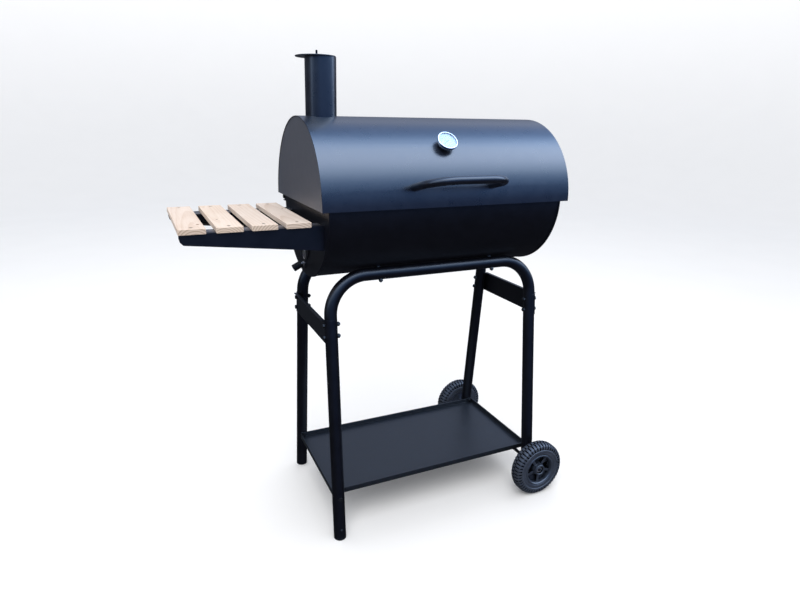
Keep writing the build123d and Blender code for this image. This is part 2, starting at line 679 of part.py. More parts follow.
with BuildPart() as foot_caps:
    # plugs in the two left legs, flush with the tube and cut flat on the ground
    rods(FOOT_PLANES, TUBE_R, -6, LEFT_END - FIT)
    rods(FOOT_PLANES, PLUG_R, 1, 38)
    drill(FOOT_SCREWS, SCREW_HOLE_R, 1, 9)
    split(bisect_by=Plane.XY, keep=Keep.TOP)
    chamfer(foot_caps.edges().group_by(Axis.Z)[0], 1.2)

with BuildPart() as foot_cap_screws:
    rods(FOOT_SCREWS, SCREW_R, -5.5, 0.15)
    domes(FOOT_SCREWS, 3.4, 0.1, 1.7)

with BuildPart() as leg_plugs:
    # plugs in the open lower ends of the two right legs
    leg_ends = [leg_plane(LEG_X, side, RIGHT_END * COS_TILT) for side in SIDES]
    rods(leg_ends, TUBE_R, -2.0, -FIT)
    rods(leg_ends, PLUG_R, -0.1, 8.9)


def brace(side):
    """Folded plate across the outer side of the legs at one end, rolled round each leg."""
    inner_r = TUBE_R + SLIP
    x = side * (LEG_X + inner_r)
    low_y = leg_y(BRACE_LOW) + 0.5
    high_y = leg_y(BRACE_HIGH) + 0.5
    with BuildPart() as folded:
        plate(Plane.YZ.offset(x),
              [(-low_y, BRACE_LOW), (low_y, BRACE_LOW), (high_y, BRACE_HIGH),
               (-high_y, BRACE_HIGH)],
              side * SHEET)
        # rolled ends: the sector of a sleeve on the outer face of each leg
        for y_side in SIDES:
            with BuildSketch(leg_plane(side * LEG_X, y_side, BRACE_LOW)) as wrap:
                Circle(inner_r + SHEET)
                Circle(inner_r, mode=Mode.SUBTRACT)
                with BuildLine():
                    Polyline((0, 0), (side * 40, -y_side * 4), (side * 40, y_side * 40),
                             (-side * 9, y_side * 40), close=True)
                make_face(mode=Mode.INTERSECT)
            extrude(wrap.sketch, amount=(BRACE_HIGH - BRACE_LOW) / COS_TILT)
        # flange turned outward along the top edge
        with BuildSketch(Plane.YZ.offset(x + side * SHEET)) as flange:
            with Locations((0, BRACE_HIGH)):
                Rectangle(2 * leg_y(BRACE_HIGH) - 2, SHEET, align=(Align.CENTER, Align.MAX))
        extrude(flange.sketch, amount=side * 8.0)
        drill([plane for plane in BRACE_BOLTS if plane.origin.X * side > 0], HOLE_R, 1, 4)
    return folded


with BuildPart() as leg_bolts:
    # hexagon bolts through the legs: two per leg for the braces, one per leg for the tray
    rods(BRACE_BOLTS, BOLT_R, -41.0, 0.1)
    rods(TRAY_BOLTS, BOLT_R, -44.0, 0.1)
    hexes(BRACE_BOLTS + TRAY_BOLTS, HEX_FLATS, FIT, HEAD_TOP)

TRAY_LENGTH = 616.0
TRAY_WIDTH = 310.8
TRAY_BASE = 108.4
TRAY_TOP = 122.0
TRAY_T = 1.2
LIP_W = 2.8
LIP_T = 1.6
with BuildPart() as bottom_tray:
    with BuildSketch(Plane.XY.offset(TRAY_BASE)):
        RectangleRounded(TRAY_LENGTH, TRAY_WIDTH, 6)
    extrude(amount=TRAY_TOP - TRAY_BASE)
    offset(amount=-TRAY_T, openings=bottom_tray.faces().sort_by(Axis.Z)[-1])
    # inner lip along the rim
    with BuildSketch(Plane.XY.offset(TRAY_TOP - LIP_T)):
        RectangleRounded(TRAY_LENGTH, TRAY_WIDTH, 6)
        RectangleRounded(TRAY_LENGTH - 2 * LIP_W, TRAY_WIDTH - 2 * LIP_W, 3.5, mode=Mode.SUBTRACT)
    extrude(amount=LIP_T)
    drill(TRAY_BOLTS, HOLE_R, 1, 45)

with BuildPart() as saddle_spacers:
    # drilled spacers, hollowed above to the barrel and below to the hoop's top bar
    with Locations(*lifted(SADDLES, BOX_R + 0.9)):
        Cylinder(7.0, 9)
    cut_along_x(BOX_R + SLIP, 0, AXIS_Z)
    for side in SIDES:
        cut_along_x(TUBE_R + SLIP, side * BAR_Y, BAR_Z)
    drill(SADDLES, HOLE_R, BOX_R + 15, 30)

with BuildPart() as saddle_bolts:
    # bolts with their round heads inside the firebox
    rods(SADDLES, BOLT_R, BOX_IN - 1.0, BAR_DIST + TUBE_R + 7.5)
    rods(SADDLES, 7.0, BOX_IN - 3.2, BOX_IN - 0.2)

with BuildPart() as m6_nuts:
    # nuts behind the seats of the braces, tray, shelf, hinge and vent; the saddles' are outside
    tray_wall = TRAY_HEAD_Y - TRAY_WIDTH / 2 + LIP_W
    hexes(lifted(BRACE_BOLTS, -(2 * TUBE_R + SHEET)), HEX_FLATS, -NUT_T - FIT, -FIT, NUT_BORE_R)
    hexes(lifted(TRAY_BOLTS, -tray_wall), HEX_FLATS, -NUT_T - FIT, -FIT, NUT_BORE_R)
    hexes(lifted(SADDLES, BAR_DIST + TUBE_R), HEX_FLATS, FIT, NUT_T + FIT, NUT_BORE_R)
    hexes(lifted(SHELF_BOLTS, -2 * SHEET), HEX_FLATS, -NUT_T - FIT, -FIT, NUT_BORE_R)
    hexes(lifted(HINGE_AXES, -4.2), HEX_FLATS, -TALL_NUT_END, -FIT, NUT_BORE_R)
    hexes([VENT_AXIS.offset(-SHEET)], HEX_FLATS, -TALL_NUT_END, -FIT, NUT_BORE_R)

# ---------------------------------------------------------------- wheels
AXLE_HALF = WHEEL_Y + 17
FRONT_WHEEL, REAR_WHEEL = [facing_y(side, AXLE_X, side * WHEEL_Y, WHEEL_R) for side in SIDES]
WHEELS = [FRONT_WHEEL, REAR_WHEEL]
with BuildPart() as axle_rod:
    with BuildSketch(Plane.XZ.offset(-AXLE_HALF)):
        with Locations((AXLE_X, WHEEL_R)):
            Circle(AXLE_R)
    extrude(amount=2 * AXLE_HALF)
    chamfer(axle_rod.edges().filter_by(GeomType.CIRCLE), 0.8)

with BuildPart() as axle_washers:
    for wheel in WHEELS:
        with BuildSketch(wheel.offset(HUB_SEAT + 0.1)) as washer:
            Circle(10.6)
            Circle(AXLE_R + 0.03, mode=Mode.SUBTRACT)
        extrude(washer.sketch, amount=1.2)
with BuildPart() as axle_lock_nuts:
    hexes(WHEELS, 16.0, HUB_SEAT + 1.35, HUB_SEAT + 7.4, AXLE_R + SLIP)

# (radius, distance outward from the wheel's mid-plane)
HUB_PROFILE = [
    (AXLE_R + FIT, -28.6), (11.0, -28.6), (13.0, -12.0), (34.0, -8.0), (40.5, -15.0),
    (42.5, -17.5), (RIM_R, -17.5), (RIM_R, 17.6), (45.6, 18.6), (43.6, 18.6), (41.6, 16.6),
    (38.5, 4.5), (22.0, 2.0), (17.2, 12.0), (15.8, 18.6), (14.6, 19.6), (12.4, 19.6),
    (11.4, 18.4), (11.2, HUB_SEAT), (AXLE_R + FIT, HUB_SEAT),
]
SPOKES = 5


def hub(wheel):
    """Rim, dished web with five pockets, ribs, and a boss with a counterbore for the nut."""
    with BuildPart() as moulding:
        turned(wheel, HUB_PROFILE)
        with BuildSketch(wheel.offset(-6.5)) as windows:
            with PolarLocations(0, SPOKES, 90):
                with BuildLine():
                    Polyline((19.6, -6.6), (36.6, -15.4), (36.6, 15.4), (19.6, 6.6), close=True)
                make_face()
            fillet(windows.vertices(), 2.6)
        extrude(windows.sketch, amount=40, mode=Mode.SUBTRACT)
        # raised ribs between the pockets
        with BuildSketch(wheel.offset(0.5)) as ribs:
            with PolarLocations(28.4, SPOKES, 54):
                Rectangle(26.0, 7.4)
        extrude(ribs.sketch, amount=10.5)
    return moulding


# (radius, half width) from the bead to the tread, the same on both sides
TYRE_SIDE = [
    (RIM_R + FIT, 16.5), (49.0, 18.0), (52.5, 18.6), (58.5, 18.2), (59.8, TYRE_W / 2),
    (62.2, TYRE_W / 2), (63.4, 18.4), (69.0, 18.6), (74.0, 17.0), (77.6, 13.2), (WHEEL_R, 7.5),
]
TYRE_PROFILE = ([(radius, -half) for radius, half in TYRE_SIDE]
                + [(radius, half) for radius, half in reversed(TYRE_SIDE)])
TREADS = 46


def tyre(wheel):
    """Solid tyre with a raised side ring and tread blocks round the shoulders."""
    with BuildPart() as moulding:
        turned(wheel, TYRE_PROFILE)
        # shoulder grooves, staggered from side to side
        for face, phase in ((1, 0.0), (-1, 180.0 / TREADS)):
            with BuildSketch(wheel.offset(face * 1.1)) as cuts:
                with PolarLocations(WHEEL_R + 0.7, TREADS, phase):
                    Rectangle(11.0, 4.6)
            extrude(cuts.sketch, amount=face * 30.0, mode=Mode.SUBTRACT)
            with BuildSketch(wheel.offset(face * 15.0)) as flutes:
                with PolarLocations(70.3, TREADS, phase):
                    Rectangle(12.6, 4.2)
            extrude(flutes.sketch, amount=face * 30.0, mode=Mode.SUBTRACT)
        # groove round the middle of the tread
        section_plane = Plane(origin=wheel.origin, x_dir=wheel.x_dir,
                              z_dir=wheel.x_dir.cross(wheel.z_dir))
        with BuildSketch(section_plane) as groove:
            with Locations((WHEEL_R - 2.4, 0)):
                Rectangle(6.0, 2.4, align=(Align.MIN, Align.CENTER))
        revolve(groove.sketch, axis=Axis(wheel.origin, wheel.z_dir), mode=Mode.SUBTRACT)
    return moulding


# ================================================================ side shelf
# (x, z) outline of a side plate: deep at the barrel, shallow at the free end
SHELF_WEB = [
    (SHELF_END, SHELF_TOP), (LEFT_FACE_X, SHELF_TOP), (LEFT_FACE_X, 765),
    (SHELF_END + 9, 799), (SHELF_END + 2.2, 806), (SHELF_END, 815),
]


def shelf_plate(side):
    """Folded side plate with flanges turned inward along its top and at the barrel."""
    with BuildPart() as folded:
        plate(Plane.XZ.offset(-side * SHELF_Y), SHELF_WEB, side * SHEET)
        with BuildSketch(Plane.XY.offset(SHELF_TOP)) as top:
            with Locations(((SHELF_END + LEFT_FACE_X) / 2, side * (SHELF_Y - 7.5))):
                Rectangle(LEFT_FACE_X - SHELF_END, 15)
            chamfer(top.vertices().filter_by(lambda v: abs(v.Y) < SHELF_Y - 10), 5)
        extrude(top.sketch, amount=-SHEET)
        with BuildSketch(Plane.YZ.offset(LEFT_FACE_X)) as end:
            with Locations((side * (SHELF_Y - 10), 795.5)):
                Rectangle(20, 53)
        extrude(end.sketch, amount=-SHEET)
        drill(on_y_side(SHELF_BOLTS, side), HOLE_R, 1, 4)
        drill(on_y_side(SLAT_HOLES, side), SCREW_HOLE_R, 0, 16)
    return folded


with BuildPart() as shelf_bolts:
    rods(SHELF_BOLTS, BOLT_R, -13.0, 0.1)
    hexes(SHELF_BOLTS, HEX_FLATS, FIT, HEAD_TOP)


def slat(x):
    """Wooden slat with eased edges and two counterbored screw holes."""
    with BuildPart() as wood:
        with BuildSketch(Plane.XY.offset(SHELF_TOP)) as outline:
            with Locations((x, 0)):
                Rectangle(SLAT_W, 2 * SLAT_HALF)
        board = extrude(outline.sketch, amount=SLAT_T)
        fillet(board.edges(), 1.2)
        for plane in SLAT_HOLES:
            if abs(plane.origin.X - x) < 1:
                with Locations(plane):
                    CounterBoreHole(radius=SCREW_HOLE_R, counter_bore_radius=4.6,
                                    counter_bore_depth=2.0, depth=20)
    return wood


with BuildPart() as slat_screws:
    rods(SLAT_HOLES, SCREW_R, -18.0, -1.9)
    domes(SLAT_HOLES, 4.2, -1.98, 1.9)

# ================================================================ files
PIECES = {
    # stand
    "front_hoop_tube": hoop(-1),
    "rear_hoop_tube": hoop(1),
    "foot_caps": foot_caps,
    "foot_cap_screws": foot_cap_screws,
    "leg_plugs": leg_plugs,
    "left_brace_plate": brace(-1),
    "right_brace_plate": brace(1),
    "leg_bolts": leg_bolts,
    "m6_nuts": m6_nuts,
    "bottom_tray": bottom_tray,
    "saddle_spacers": saddle_spacers,
    "saddle_bolts": saddle_bolts,
    # wheels
    "axle_rod": axle_rod,
    "axle_washers": axle_washers,
    "axle_lock_nuts": axle_lock_nuts,
    "front_wheel_hub": hub(FRONT_WHEEL),
    "rear_wheel_hub": hub(REAR_WHEEL),
    "front_tyre": tyre(FRONT_WHEEL),
    "rear_tyre": tyre(REAR_WHEEL),
    # firebox
    "firebox_shell": firebox_shell,
    "firebox_left_end": box_end(-1),
    "firebox_right_end": box_end(1),
    "body_hinge_leaves": body_hinge_leaves,
    "body_leaf_rivets": leaf_rivets(BOX_RIVETS, SHEET, 3.6),
    "hinge_pivot_bolts": hinge_pivot_bolts,
    "grate_ledges": grate_ledges,
    "cooking_grate_left": grate(-GRATE_OUTER_X, -GRATE_INNER_X),
    "cooking_grate_right": grate(GRATE_INNER_X, GRATE_OUTER_X),
    "charcoal_grate": charcoal_grate,
    "vent_shutter": vent_shutter,
    "vent_lever": vent_lever,
    "vent_grip": vent_grip,
    "vent_pivot_bolt": vent_pivot_bolt,
    # side shelf
    "shelf_front_plate": shelf_plate(-1),
    "shelf_rear_plate": shelf_plate(1),
    "shelf_bolts": shelf_bolts,
    **{f"shelf_slat_{letter}": slat(x) for letter, x in zip("abcd", SLAT_X)},
    "slat_screws": slat_screws,
    # lid
    "lid_shell": lid_shell,
    "lid_left_end": lid_end(-1),
    "lid_right_end": lid_end(1),
    "lid_hinge_leaves": lid_hinge_leaves,
    "lid_leaf_rivets": leaf_rivets(LID_RIVETS, 2 * SHEET, 4.0),
    "lid_handle": lid_handle,
    "handle_screws": handle_screws,
    "chimney_pipe": chimney_pipe,
    "chimney_collar": chimney_collar,
    "cap_bracket": cap_bracket,
    "cap_pivot_bolt": cap_pivot_bolt,
    "cap_pivot_nut": cap_pivot_nut,
    "chimney_cap": chimney_cap,
    "gauge_case": gauge_case,
    "gauge_dial": gauge_dial,
    "gauge_glass": gauge_glass,
    "gauge_needle": gauge_needle,
    "gauge_stem": gauge_stem,
    "gauge_nut": gauge_nut,
}

os.makedirs("parts", exist_ok=True)
for name, piece in PIECES.items():
    placed = piece.part.moved(Location((-FOOTPRINT_X, -FOOTPRINT_Y, 0)))
    placed.label = name
    export_step(placed, f"parts/{name}.step")
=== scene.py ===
"""A barrel charcoal grill on a wheeled stand, with a slatted wooden shelf.

The barrel's axis runs along X, the front faces -Y and +Z is up. Positions are in metres;
sizes written in millimetres are multiplied by MM.
"""
import json
import math

import bmesh
import bpy
from mathutils import Matrix, Vector


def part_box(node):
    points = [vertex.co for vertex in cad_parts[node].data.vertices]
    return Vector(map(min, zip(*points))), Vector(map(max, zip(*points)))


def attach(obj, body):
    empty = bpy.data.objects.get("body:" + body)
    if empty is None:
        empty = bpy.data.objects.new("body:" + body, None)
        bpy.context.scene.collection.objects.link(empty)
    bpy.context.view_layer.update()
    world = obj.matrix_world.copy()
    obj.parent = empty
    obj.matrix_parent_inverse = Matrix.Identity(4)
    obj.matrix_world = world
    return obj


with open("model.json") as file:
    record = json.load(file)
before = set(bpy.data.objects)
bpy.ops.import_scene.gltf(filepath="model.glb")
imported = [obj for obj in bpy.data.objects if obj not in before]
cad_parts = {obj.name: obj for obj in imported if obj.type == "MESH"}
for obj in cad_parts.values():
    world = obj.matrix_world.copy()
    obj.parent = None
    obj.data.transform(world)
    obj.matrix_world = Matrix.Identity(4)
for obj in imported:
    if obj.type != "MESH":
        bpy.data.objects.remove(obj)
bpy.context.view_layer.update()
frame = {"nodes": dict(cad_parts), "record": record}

nodes = frame["nodes"]
slot_of = {part["node"]: part["material_slot"] for part in frame["record"]["subparts"]}
MM = 0.001


def middle(node):
    low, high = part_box(node)
    return (low + high) / 2


# The barrel's axis passes through this point
BARREL_X = middle("firebox_shell").x
BARREL_Y = middle("firebox_shell").y
BARREL_Z = 0.864
BARREL_RADIUS_MM = 203.0


# ------------------------------------------------------------------ shader graphs
def shade(colour, factor, lift=0.0):
    """Colour multiplied by factor and raised by lift, held to 1."""
    return tuple(min(1, channel * factor + lift) for channel in colour)


class Graph:
    """A node tree; values may be numbers, colours or sockets."""

    def __init__(self, tree):
        self.tree = tree
        tree.nodes.clear()

    def add(self, kind, **props):
        node = self.tree.nodes.new(kind)
        for key, value in props.items():
            setattr(node, key, value)
        return node

    def put(self, socket, value):
        if isinstance(value, bpy.types.NodeSocket):
            self.tree.links.new(value, socket)
        elif isinstance(value, (tuple, list)) and len(value) == 3 and socket.type == "RGBA":
            socket.default_value = (*value, 1)
        else:
            socket.default_value = value

    def remap(self, value, span=(0.3, 0.7), to=(0, 1), smooth=False):
        """Map the range span to the range to; the default span is the bulk of a noise."""
        node = self.add("ShaderNodeMapRange",
                        interpolation_type="SMOOTHSTEP" if smooth else "LINEAR")
        self.put(node.inputs["Value"], value)
        for key, number in zip(("From Min", "From Max", "To Min", "To Max"), (*span, *to)):
            self.put(node.inputs[key], number)
        return node.outputs[0]

    def math(self, op, a, b=0.0):
        node = self.add("ShaderNodeMath", operation=op)
        self.put(node.inputs[0], a)
        self.put(node.inputs[1], b)
        return node.outputs[0]

    def ramp(self, factor, stops, interpolation="LINEAR"):
        """Stops are (position, colour)."""
        node = self.add("ShaderNodeValToRGB")
        node.color_ramp.interpolation = interpolation
        elements = node.color_ramp.elements
        while len(elements) > 1:
            elements.remove(elements[-1])
        for i, (position, colour) in enumerate(stops):
            stop = elements[0] if i == 0 else elements.new(position)
            stop.position = position
            stop.color = (*colour, 1)
        self.put(node.inputs[0], factor)
        return node.outputs[0]

    def xyz(self, vector):
        node = self.add("ShaderNodeSeparateXYZ")
        self.put(node.inputs[0], vector)
        return node.outputs

    def mix_shaders(self, factor, first, second):
        node = self.add("ShaderNodeMixShader")
        for socket, value in zip(node.inputs, (factor, first, second)):
            self.put(socket, value)
        return node.outputs[0]


class Surface(Graph):
    """A procedural material on a Principled shader."""

    def __init__(self, name):
        self.material = bpy.data.materials.new(name)
        self.material.use_nodes = True
        super().__init__(self.material.node_tree)
        self.output = self.add("ShaderNodeOutputMaterial")
        self.principled = self.add("ShaderNodeBsdfPrincipled")
        self.put(self.output.inputs[0], self.principled.outputs[0])
        self.coords = self.add("ShaderNodeTexCoord").outputs["Object"]

    def set(self, **inputs):
        """Set Principled inputs, named with _ for each space, and return the material."""
        for key, value in inputs.items():
            self.put(self.principled.inputs[key.replace("_", " ")], value)
        return self.material

    def mapping(self, scale=(1, 1, 1), shift=(0, 0, 0), turn=(0, 0, 0), vector=None):
        node = self.add("ShaderNodeMapping")
        self.put(node.inputs["Vector"], vector or self.coords)
        node.inputs["Scale"].default_value = scale
        node.inputs["Location"].default_value = shift
        node.inputs["Rotation"].default_value = turn
        return node.outputs[0]

    def noise(self, scale, detail=2.0, rough=0.5, vector=None, distortion=0.0):
        node = self.add("ShaderNodeTexNoise")
        self.put(node.inputs["Vector"], vector or self.coords)
        node.inputs["Scale"].default_value = scale
        node.inputs["Detail"].default_value = detail
        node.inputs["Roughness"].default_value = rough
        node.inputs["Distortion"].default_value = distortion
        return node.outputs[0]

    def voronoi(self, scale):
        node = self.add("ShaderNodeTexVoronoi")
        self.put(node.inputs["Vector"], self.coords)
        node.inputs["Scale"].default_value = scale
        return node.outputs["Distance"]

    def mix(self, amount, a, b, blend="MIX"):
        node = self.add("ShaderNodeMix", data_type="RGBA", blend_type=blend)
        self.put(node.inputs[0], amount)
        self.put(node.inputs[6], a)
        self.put(node.inputs[7], b)
        return node.outputs[2]

    def bump(self, height, strength, distance, normal=None):
        node = self.add("ShaderNodeBump")
        node.inputs["Strength"].default_value = strength
        node.inputs["Distance"].default_value = distance
        self.put(node.inputs["Height"], height)
        if normal is not None:
            self.put(node.inputs["Normal"], normal)
        return node.outputs[0]

    def bevel(self, radius):
        node = self.add("ShaderNodeBevel", samples=6)
        node.inputs["Radius"].default_value = radius
        return node.outputs[0]

    def geometry(self, output):
        return self.add("ShaderNodeNewGeometry").outputs[output]

    def edge(self, radius):
        """1 near a convex or concave edge, 0 on open faces."""
        dot = self.add("ShaderNodeVectorMath", operation="DOT_PRODUCT")
        self.put(dot.inputs[0], self.bevel(radius))
        self.put(dot.inputs[1], self.geometry("Normal"))
        return self.remap(dot.outputs["Value"], span=(0.99, 0.75))


# ------------------------------------------------------------------ material families
# rough is the mean roughness and bevel the rounding of edges in mm.
def paint(name, base, rough, peel=1.0, wave=1.0, spec=1.0, coat=0.6, bevel=0.7, dust=0.02,
          cloudy=1.0):
    """Baked enamel on sheet steel.

    peel scales the orange peel, wave the sheet's waviness, cloudy the unevenness of colour
    and dust the specks that settle on upward faces.
    """
    g = Surface(name)
    broad = g.noise(scale=5.0, detail=3.0)
    cloud = g.noise(scale=34.0, detail=4.0, rough=0.6)
    colour = g.mix(g.remap(cloud), shade(base, 1 - 0.22 * cloudy), shade(base, 1 + 0.25 * cloudy))
    lint = g.remap(g.noise(scale=420.0, detail=3.0, rough=0.75), span=(0.66, 0.78))
    upward = g.remap(g.xyz(g.geometry("Normal"))[2], span=(0.2, 1.0), smooth=True)
    patches = g.remap(broad, span=(0.35, 0.6), to=(0.2, 1.0))
    fleck = g.math("MULTIPLY", g.math("MULTIPLY", lint, upward), patches)
    dust_grey = (0.33, 0.34, 0.36)
    colour = g.mix(g.math("MULTIPLY", fleck, dust * 6), colour, dust_grey)
    gloss = g.remap(cloud, span=(0.25, 0.75), to=(rough - 0.035, rough + 0.045))
    roughness = g.math("ADD", gloss, g.math("MULTIPLY", fleck, 0.25))
    normal = g.bump(broad, strength=0.55 * wave, distance=0.0022, normal=g.bevel(bevel * MM))
    normal = g.bump(g.noise(scale=520.0, rough=0.6), strength=0.10 * peel, distance=0.00035,
                    normal=normal)
    return g.set(Base_Color=colour, Roughness=roughness, Normal=normal, Specular_IOR_Level=spec,
                 Coat_Weight=coat, Coat_Roughness=rough * 0.75)


def plated(name, base, rough, bevel=0.25, streak=0.1, metallic=1.0):
    """Plated steel: mottled reflectance, with fine tool marks as strong as streak."""
    g = Surface(name)
    mottled = g.noise(scale=260.0, detail=4.0, rough=0.65)
    cells = g.voronoi(scale=900.0)
    colour = g.mix(g.remap(mottled), shade(base, 0.72), base)
    colour = g.mix(g.remap(cells, span=(0.0, 0.8), to=(0.0, 0.35)), colour, shade(base, 0.9))
    normal = g.bump(g.noise(scale=1500.0), strength=streak, distance=0.0001,
                    normal=g.bevel(bevel * MM))
    roughness = g.remap(mottled, span=(0.25, 0.75), to=(rough - 0.06, rough + 0.1))
    return g.set(Base_Color=colour, Metallic=metallic, Roughness=roughness, Normal=normal)


def moulded(name, base, rough, grain=900.0, depth=0.25, spec=0.5, edge=0.0, bevel=0.5,
            recess=0.0):
    """Moulded plastic or rubber with dull scuffs.

    grain and depth are the texture's scale and strength, edge the strength of a painted highlight
    on edges and recess the reach in metres of a painted shade in hollows.
    """
    g = Surface(name)
    cloud = g.noise(scale=60.0, detail=4.0, rough=0.65)
    colour = g.mix(g.remap(cloud), shade(base, 0.75), shade(base, 1.3))
    scuff = g.remap(g.noise(scale=240.0, detail=5.0, rough=0.7, distortion=0.6),
                    span=(0.58, 0.72))
    colour = g.mix(g.math("MULTIPLY", scuff, 0.25), colour, shade(base, 2.6, lift=0.01))
    if edge:
        # painted highlight: colour is lightened near edges
        edge_highlight = g.math("MULTIPLY", g.edge(radius=1.2 * MM), edge)
        colour = g.mix(edge_highlight, colour, shade(base, 3.5, lift=0.02))
    normal = g.bump(g.noise(scale=grain, detail=3.0, rough=0.6), strength=depth,
                    distance=0.00025, normal=g.bevel(bevel * MM))
    level = spec
    if recess:
        # painted shade: what lies in a groove or a pocket sees little of the room, so its colour
        # is darkened and its specular weakened
        occlusion = g.add("ShaderNodeAmbientOcclusion", samples=8, only_local=True)
        occlusion.inputs["Distance"].default_value = recess
        exposed = g.remap(occlusion.outputs["AO"], span=(0.34, 0.90), smooth=True)
        colour = g.mix(exposed, shade(base, 0.10), colour)
        level = g.math("MULTIPLY", exposed, spec)
    roughness = g.math("ADD", g.remap(cloud, to=(rough - 0.05, rough + 0.06)),
                       g.math("MULTIPLY", scuff, 0.08))
    return g.set(Base_Color=colour, Roughness=roughness, Normal=normal, Specular_IOR_Level=level)


def wire(name, base, metallic, rough, ash=0.0):
    """Grate wire, with pale ash on its upper side."""
    g = Surface(name)
    mottled = g.noise(scale=180.0, detail=4.0, rough=0.7)
    colour = g.mix(g.remap(mottled), shade(base, 0.6), base)
    if ash:
        upward = g.remap(g.xyz(g.geometry("Normal"))[2], span=(0.2, 1.0), to=(0, ash))
        patches = g.remap(mottled, span=(0.45, 0.6))
        ash_grey = (0.30, 0.29, 0.27)
        colour = g.mix(g.math("MULTIPLY", upward, patches), colour, ash_grey)
    return g.set(Base_Color=colour, Metallic=metallic,
                 Roughness=g.remap(mottled, to=(rough - 0.06, rough + 0.1)),
                 Normal=g.bump(g.noise(scale=1100.0, detail=3.0), strength=0.2,
                               distance=0.00015))


def dial_face(name):
    """Printed dial: satin, slightly metallic white."""
    g = Surface(name)
    grain = g.noise(scale=900.0, detail=3.0, rough=0.6)
    cloud = g.noise(scale=120.0)
    colour = g.mix(g.remap(cloud), (0.70, 0.74, 0.79), (0.80, 0.83, 0.86))
    return g.set(Base_Color=colour, Roughness=g.remap(grain, to=(0.32, 0.45)), Metallic=0.25,
                 Normal=g.bump(grain, strength=0.06, distance=0.0001))


def ink(name, base):
    g = Surface(name)
    grain = g.noise(scale=1500.0)
    return g.set(Base_Color=g.mix(g.remap(grain), shade(base, 0.8), base), Roughness=0.5,
                 Normal=g.bump(grain, strength=0.05, distance=0.00005))


def glass(name):
    """Thin window: clear with a Fresnel reflection and slight smears."""
    g = Surface(name)
    g.tree.nodes.remove(g.principled)
    clear = g.add("ShaderNodeBsdfTransparent")
    gloss = g.add("ShaderNodeBsdfGlossy")
    smear = g.noise(scale=160.0, detail=4.0, rough=0.7)
    g.put(gloss.inputs["Roughness"], g.remap(smear, to=(0.02, 0.09)))
    g.put(gloss.inputs["Color"], (0.9, 0.93, 1.0))
    g.put(clear.inputs["Color"], (0.94, 0.97, 0.98))
    fresnel = g.add("ShaderNodeFresnel")
    fresnel.inputs["IOR"].default_value = 1.5
    reflection = g.math("MULTIPLY", fresnel.outputs[0], 0.8)
    g.put(g.output.inputs[0], g.mix_shaders(reflection, clear.outputs[0], gloss.outputs[0]))
    return g.material


